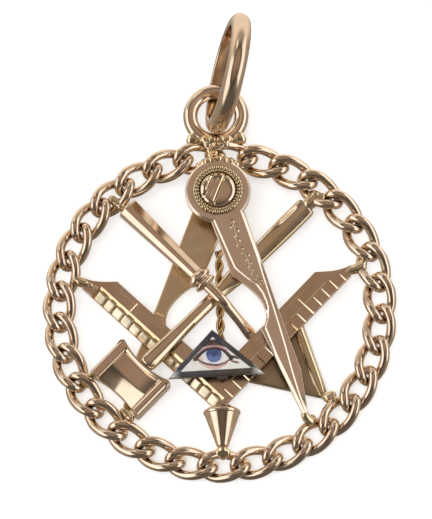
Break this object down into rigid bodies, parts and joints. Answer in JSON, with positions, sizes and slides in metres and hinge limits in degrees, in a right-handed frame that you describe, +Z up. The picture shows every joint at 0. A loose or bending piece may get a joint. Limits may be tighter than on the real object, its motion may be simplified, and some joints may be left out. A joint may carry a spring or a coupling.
{
  "type": "masonic pendant",
  "caption": "Round openwork gold pendant: compasses, set square, trowel, gavel, plumb line and an enamelled eye in a border of curb links, with a loop and ring to hang it.",
  "frame": {"origin": "middle of the pendant's box, on the surface that it lies on", "axes": "+Y from the plumb bob up to the suspension ring, +Z up off the surface towards the front, +X to the right of the front"},
  "size_m": [0.0294, 0.0394, 0.0103],
  "materials": {
    "rose_gold": "polished 9 carat rose gold, worn",
    "yellow_gold": "polished yellow gold, softly brushed",
    "dark_silver": "darkened silver",
    "enamel": "glossy vitreous enamel, hand painted"
  },
  "bodies": {
    "root": {"link_01": "rose_gold", "link_02": "rose_gold", "link_03": "rose_gold", "link_04": "rose_gold", "link_05": "rose_gold", "link_06": "rose_gold", "link_07": "rose_gold", "link_08": "rose_gold", "link_09": "rose_gold", "link_10": "rose_gold", "link_11": "rose_gold", "link_12": "rose_gold", "link_13": "rose_gold", "link_14": "rose_gold", "link_15": "rose_gold", "link_16": "rose_gold", "link_17": "rose_gold", "link_18": "rose_gold", "link_19": "rose_gold", "link_20": "rose_gold", "link_21": "rose_gold", "link_22": "rose_gold", "link_23": "rose_gold", "link_24": "rose_gold", "link_25": "rose_gold", "link_26": "rose_gold", "link_27": "rose_gold", "link_28": "rose_gold", "link_29": "rose_gold", "link_30": "rose_gold", "link_31": "rose_gold", "hanging_loop": "rose_gold", "suspension_ring": "rose_gold", "compass_rear_leg": "yellow_gold", "compass_front_leg": "rose_gold", "pivot_bezel": "rose_gold", "pivot_cap": "rose_gold", "set_square": "yellow_gold", "gavel_head": "rose_gold", "gavel_handle": "yellow_gold", "trowel_handle": "rose_gold", "trowel_blade": "rose_gold", "plumb_line": "yellow_gold", "plumb_bob": "rose_gold", "eye_setting": "dark_silver", "enamel_plaque": "enamel"}
  },
  "joints": []
}
